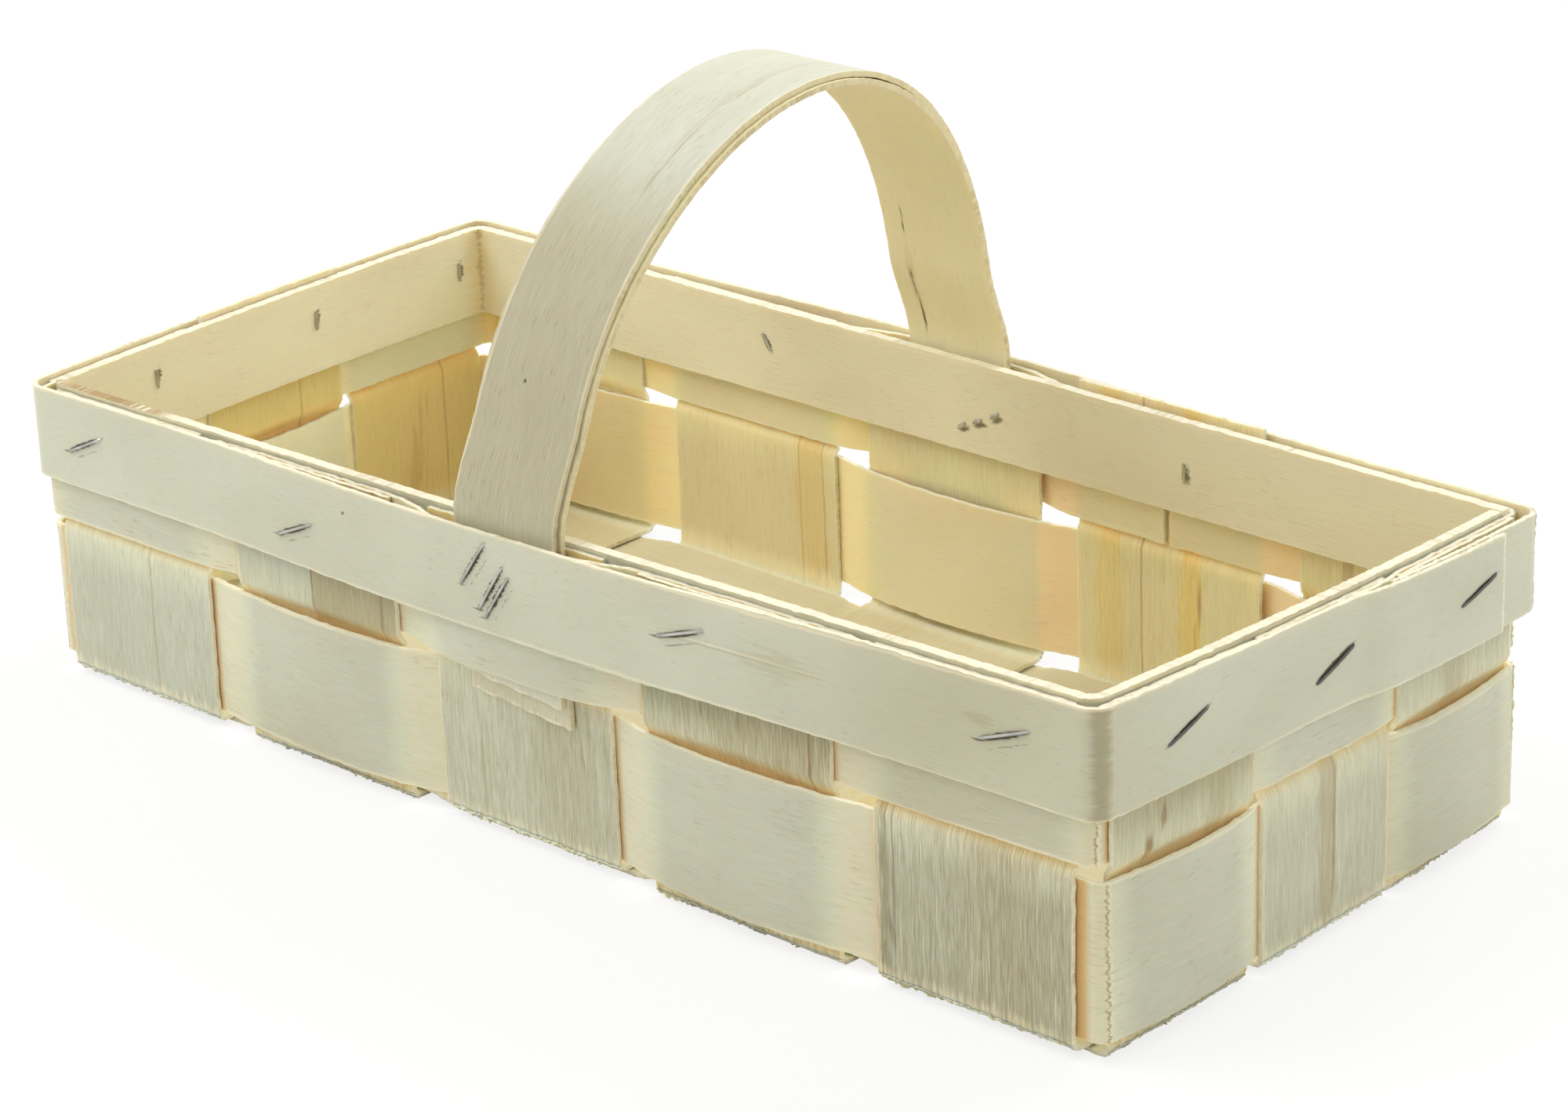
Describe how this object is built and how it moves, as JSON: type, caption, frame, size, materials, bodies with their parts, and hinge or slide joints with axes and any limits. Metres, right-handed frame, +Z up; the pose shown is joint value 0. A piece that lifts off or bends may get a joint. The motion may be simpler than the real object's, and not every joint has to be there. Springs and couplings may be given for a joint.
{
  "type": "bow handle basket",
  "caption": "Long low basket woven from flat wood splints, with a stapled double rim and a fixed two-ply bow handle across the middle for carrying it.",
  "frame": {"origin": "on the table, under the middle of the basket's box", "axes": "+X along the basket's length, +Y across it towards the wall that the bow leans to, +Z up"},
  "size_m": [0.3082, 0.15, 0.1475],
  "materials": {
    "strip_wood": "raw rotary-cut veneer with fine grain along each strip",
    "band_wood": "raw rotary-cut veneer with fine grain along the band",
    "rim_wood": "raw pale wood, cracked at the bends",
    "handle_wood": "raw pale wood with a brown growth streak",
    "staple_wire": "bright drawn wire"
  },
  "bodies": {
    "root": {"long_strip_1": "strip_wood", "long_strip_2": "strip_wood", "long_strip_3": "strip_wood", "cross_strip_1": "strip_wood", "cross_strip_2": "strip_wood", "cross_strip_3": "strip_wood", "cross_strip_4": "strip_wood", "cross_strip_5": "strip_wood", "lower_band": "band_wood", "upper_band": "band_wood", "inner_rim": "rim_wood", "outer_rim": "rim_wood", "handle_inner_ply": "handle_wood", "handle_outer_ply": "handle_wood", "staple_front_1": "staple_wire", "staple_front_2": "staple_wire", "staple_front_3": "staple_wire", "staple_front_4": "staple_wire", "staple_handle_front_1": "staple_wire", "staple_handle_front_2": "staple_wire", "staple_handle_front_3": "staple_wire", "staple_right_1": "staple_wire", "staple_right_2": "staple_wire", "staple_right_3": "staple_wire", "staple_back_1": "staple_wire", "staple_back_2": "staple_wire", "staple_handle_back_1": "staple_wire", "staple_handle_back_2": "staple_wire", "staple_handle_back_3": "staple_wire", "staple_left_1": "staple_wire", "staple_left_2": "staple_wire", "staple_left_3": "staple_wire"}
  },
  "joints": []
}
